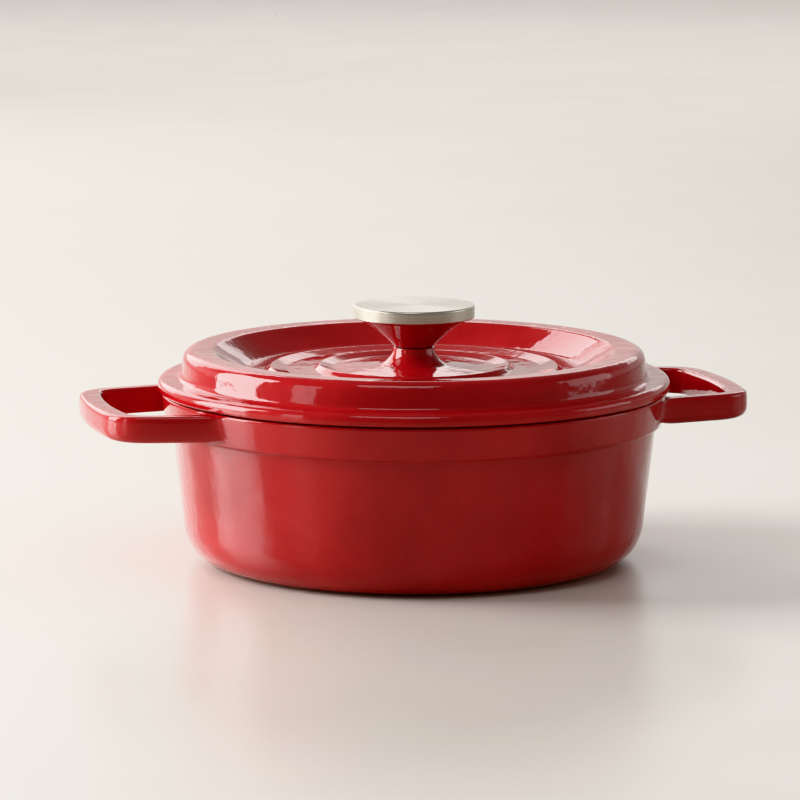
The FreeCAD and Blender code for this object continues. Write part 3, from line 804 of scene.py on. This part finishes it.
cap = turned(
    "knob_cap_steel",
    [
        (0, CAP_TOP, 0),
        (CAP_RADIUS, CAP_TOP, 0.9),
        (CAP_RADIUS, CAP_BOTTOM, 0.3),
        (CAP_INNER_RADIUS, CAP_BOTTOM, 0.2),
        (CAP_INNER_RADIUS, CAP_TOP - CAP_THICK, 0),
        (0, CAP_TOP - CAP_THICK, 0),
    ],
)
finish_piece(cap, LID, "stainless", STAINLESS, "knob_cap")

# ---------------------------------------------------------------- fasteners under the lid
HEAD_RADIUS, HEAD_ROUND, SHANK_RADIUS, TIP_CHAMFER = 6, 1.8, 2.95, 0.6
DRIVE_LENGTH, DRIVE_WIDTH, DRIVE_DEPTH, DRIVE_NARROWING = 7.6, 1.5, 2.2, 0.5
WASHER_BORE, SPRING_RADIUS, FLAT_RADIUS, SPLIT = 3.2, 5.4, 9, 1  # radii and the split's width in mm
FASTENER_STEPS, SPRING_STEPS = 72, 60
CUT_WELD = 5e-6  # m within which vertices that the cut left close together are merged
ON_PLANE = 0.01  # mm from the plane where the spring washer's turn starts


def cross_drive_cutter():
    """A cross of two blades that narrow upwards, which cuts the drive into the screw head."""
    blades = []
    for turn in (0, math.pi / 2):
        deselect_everything()
        mouth = (0, 0, SCREW_HEAD_BOTTOM * MM)
        bpy.ops.mesh.primitive_cube_add(size=1, location=mouth, rotation=(0, 0, turn))
        blade = bpy.context.object
        blade.scale = (DRIVE_LENGTH * MM, DRIVE_WIDTH * MM, 2 * DRIVE_DEPTH * MM)
        bpy.ops.object.transform_apply(location=True, rotation=True, scale=True)
        bpy.ops.object.mode_set(mode="EDIT")
        select_where(blade, "VERT", lambda place: place.z > SCREW_HEAD_BOTTOM)
        bpy.ops.transform.resize(value=(DRIVE_NARROWING, DRIVE_NARROWING, 1), center_override=mouth)
        bpy.ops.object.mode_set(mode="OBJECT")
        blades.append(blade)
    apply_modifier(blades[0], "BOOLEAN", object=blades[1], operation="UNION")
    bpy.data.objects.remove(blades[1])
    return blades[0]


def lid_screw():
    screw = turned(
        "lid_screw_steel",
        [
            (0, SCREW_HEAD_BOTTOM, 0),
            (HEAD_RADIUS, SCREW_HEAD_BOTTOM, HEAD_ROUND),
            (HEAD_RADIUS, SPRING_BOTTOM, 0.15),
            (SHANK_RADIUS, SPRING_BOTTOM, 0),
            (SHANK_RADIUS, SCREW_TIP - TIP_CHAMFER, 0),
            (SHANK_RADIUS - TIP_CHAMFER, SCREW_TIP, 0),
            (0, SCREW_TIP, 0),
        ],
        steps=FASTENER_STEPS,
        levels=0,
    )
    cutter = cross_drive_cutter()
    apply_modifier(screw, "BOOLEAN", object=cutter, operation="DIFFERENCE")
    bpy.data.objects.remove(cutter)
    bpy.ops.object.mode_set(mode="EDIT")
    bpy.ops.mesh.select_all(action="SELECT")
    bpy.ops.mesh.remove_doubles(threshold=CUT_WELD)
    bpy.ops.mesh.dissolve_degenerate(threshold=CUT_WELD)
    smooth(screw, FASTENER_ANGLE)
    return screw


def split_spring_washer():
    gap = SPLIT / SPRING_RADIUS
    outline = [
        (WASHER_BORE, SPRING_BOTTOM, 0.15),
        (SPRING_RADIUS, SPRING_BOTTOM, 0.15),
        (SPRING_RADIUS, SPRING_TOP, 0.15),
        (WASHER_BORE, SPRING_TOP, 0.15),
    ]
    washer = turned("spring_washer_steel", outline, steps=SPRING_STEPS, angle=2 * math.pi - gap, levels=0)
    bpy.ops.object.mode_set(mode="EDIT")
    for is_end in (lambda place: abs(place.y) < ON_PLANE, lambda place: abs(place.y) > ON_PLANE):
        select_open_edges(washer, is_end)
        bpy.ops.mesh.edge_face_add()
    bpy.ops.mesh.select_all(action="SELECT")
    bpy.ops.mesh.normals_make_consistent(inside=False)
    bpy.ops.transform.rotate(value=gap / 2, orient_axis="Z", center_override=(0, 0, 0))
    smooth(washer, FASTENER_ANGLE)
    return washer


flat_washer = turned(
    "flat_washer_steel",
    [
        (WASHER_BORE, FLAT_BOTTOM, 0.15),
        (FLAT_RADIUS, FLAT_BOTTOM, 0.3),
        (FLAT_RADIUS, FLAT_TOP, 0.3),
        (WASHER_BORE, FLAT_TOP, 0.15),
    ],
    steps=FASTENER_STEPS,
    levels=0,
)
finish_piece(lid_screw(), LID, "zinc_steel", ZINC, "lid_screw")
finish_piece(split_spring_washer(), LID, "zinc_steel", ZINC, "spring_washer")
finish_piece(flat_washer, LID, "zinc_steel", ZINC, "flat_washer")

# ---------------------------------------------------------------- stage, light and camera
HEADING = math.radians(14.5)  # the camera's side of the pot, turned from the line through -Y
POT_MIDDLE = Vector((0, 0, 0.07))
TABLE_SIZE = 40  # m
AIR_DARK, AIR_BRIGHT = 0.3, 1.2
CAMERA_AWAY, CAMERA_UP = 2.6, 0.4884  # m
CAMERA_DIP, CAMERA_SWING = 0.1543, 0.00279  # radians down, and back from the heading
SENSOR_WIDTH, LENS = 36, 227.07  # mm
SEEN_TO = 50  # m


def from_camera_side(right, away, up):
    """A place in metres given across the picture, away from the camera and up."""
    cos, sin = math.cos(HEADING), math.sin(HEADING)
    return Vector((right * cos + away * sin, -right * sin + away * cos, up))


def direction(side, height):
    """A unit vector given by degrees round from the camera's side to the right, and up."""
    side, height = math.radians(side), math.radians(height)
    flat = math.cos(height)
    return from_camera_side(flat * math.sin(side), -flat * math.cos(side), math.sin(height))


def studio_table():
    """Satin pale table top, wide enough to fill every view."""
    deselect_everything()
    bpy.ops.mesh.primitive_plane_add(size=TABLE_SIZE)
    table = bpy.context.object
    table.name = "studio_table"
    table.data.materials.append(satin_pale_table())


def light_panel(name, width, tall, brightness):
    """A rectangular light. Its brightness is how bright its face looks, whatever its size."""
    light = bpy.data.lights.new(name, "AREA")
    light.shape = "RECTANGLE"
    light.size = width
    light.size_y = tall
    light.energy = brightness * math.pi * width * tall
    lamp = bpy.data.objects.new(name, light)
    bpy.context.scene.collection.objects.link(lamp)
    return lamp


def soft_box(name, side, height, distance, width, tall, brightness):
    """A light panel aimed at the pot."""
    lamp = light_panel(name, width, tall, brightness)
    towards = direction(side, height)
    lamp.location = POT_MIDDLE + towards * distance
    lamp.rotation_euler = towards.to_track_quat("Z", "Y").to_euler()


def backdrop_wash():
    """A wide light that hangs flat over the far part of the table and keeps it pale."""
    wash = light_panel("backdrop_wash", width=3, tall=1.6, brightness=1.5)
    wash.location = from_camera_side(0, 3, 1)
    wash.rotation_euler = (0, 0, -HEADING)


def studio_air():
    """Soft grey surroundings, brighter low down behind the pot and to its left."""
    world = bpy.data.worlds.new("studio_air")
    world.use_nodes = True
    tree = world.node_tree
    background = tree.nodes["Background"]
    place = add_node(tree, "TexCoord").outputs["Generated"]
    turn = {"vector_type": "POINT", "Rotation": (0, 0, HEADING)}
    facing = add_node(tree, "Mapping", turn, {"Vector": place})
    parts = add_node(tree, "SeparateXYZ", None, {"Vector": facing}).outputs
    behind = {"From Min": -0.9, "From Max": 0.6}
    leftward = {"From Min": 0.4, "From Max": -0.3, "To Min": 0.45}
    low_down = {"From Min": 0.5, "From Max": 0.18}
    glow = add_node(tree, "MapRange", behind, {"Value": parts["Y"]})
    for axis, settings in (("X", leftward), ("Z", low_down)):
        share = add_node(tree, "MapRange", settings, {"Value": parts[axis]})
        glow = add_node(tree, "Math", {"operation": "MULTIPLY"}, {0: glow, 1: share})
    strength = add_node(tree, "MapRange", {"To Min": AIR_DARK, "To Max": AIR_BRIGHT}, {"Value": glow})
    connect(tree, strength, background.inputs["Strength"])
    background.inputs["Color"].default_value = linear("#FFFBF6")
    bpy.context.scene.world = world


def studio_camera():
    """A long lens that looks down a little at the front of the pot."""
    data = bpy.data.cameras.new("camera")
    data.sensor_width = SENSOR_WIDTH
    data.lens = LENS
    data.clip_end = SEEN_TO
    camera = bpy.data.objects.new("camera", data)
    camera.location = from_camera_side(0, -CAMERA_AWAY, CAMERA_UP)
    camera.rotation_euler = (math.pi / 2 - CAMERA_DIP, 0, CAMERA_SWING - HEADING)
    bpy.context.scene.collection.objects.link(camera)
    bpy.context.scene.camera = camera


studio_table()
studio_air()
soft_box("window_left", side=-95, height=20, distance=1.6, width=0.9, tall=1.15, brightness=15)
soft_box("window_narrow_left", side=-54, height=13, distance=1.7, width=0.32, tall=0.9, brightness=2)
soft_box("window_behind_left", side=-150, height=26, distance=2.2, width=1.1, tall=1.5, brightness=4.5)
soft_box("softbox_front_above", side=-10, height=58, distance=1.8, width=0.9, tall=0.7, brightness=3)
backdrop_wash()
soft_box("panel_right", side=95, height=15, distance=2, width=1.2, tall=0.9, brightness=1.3)
# The usual view transform washes the deep red out.
bpy.context.scene.view_settings.view_transform = "Khronos PBR Neutral"
studio_camera()
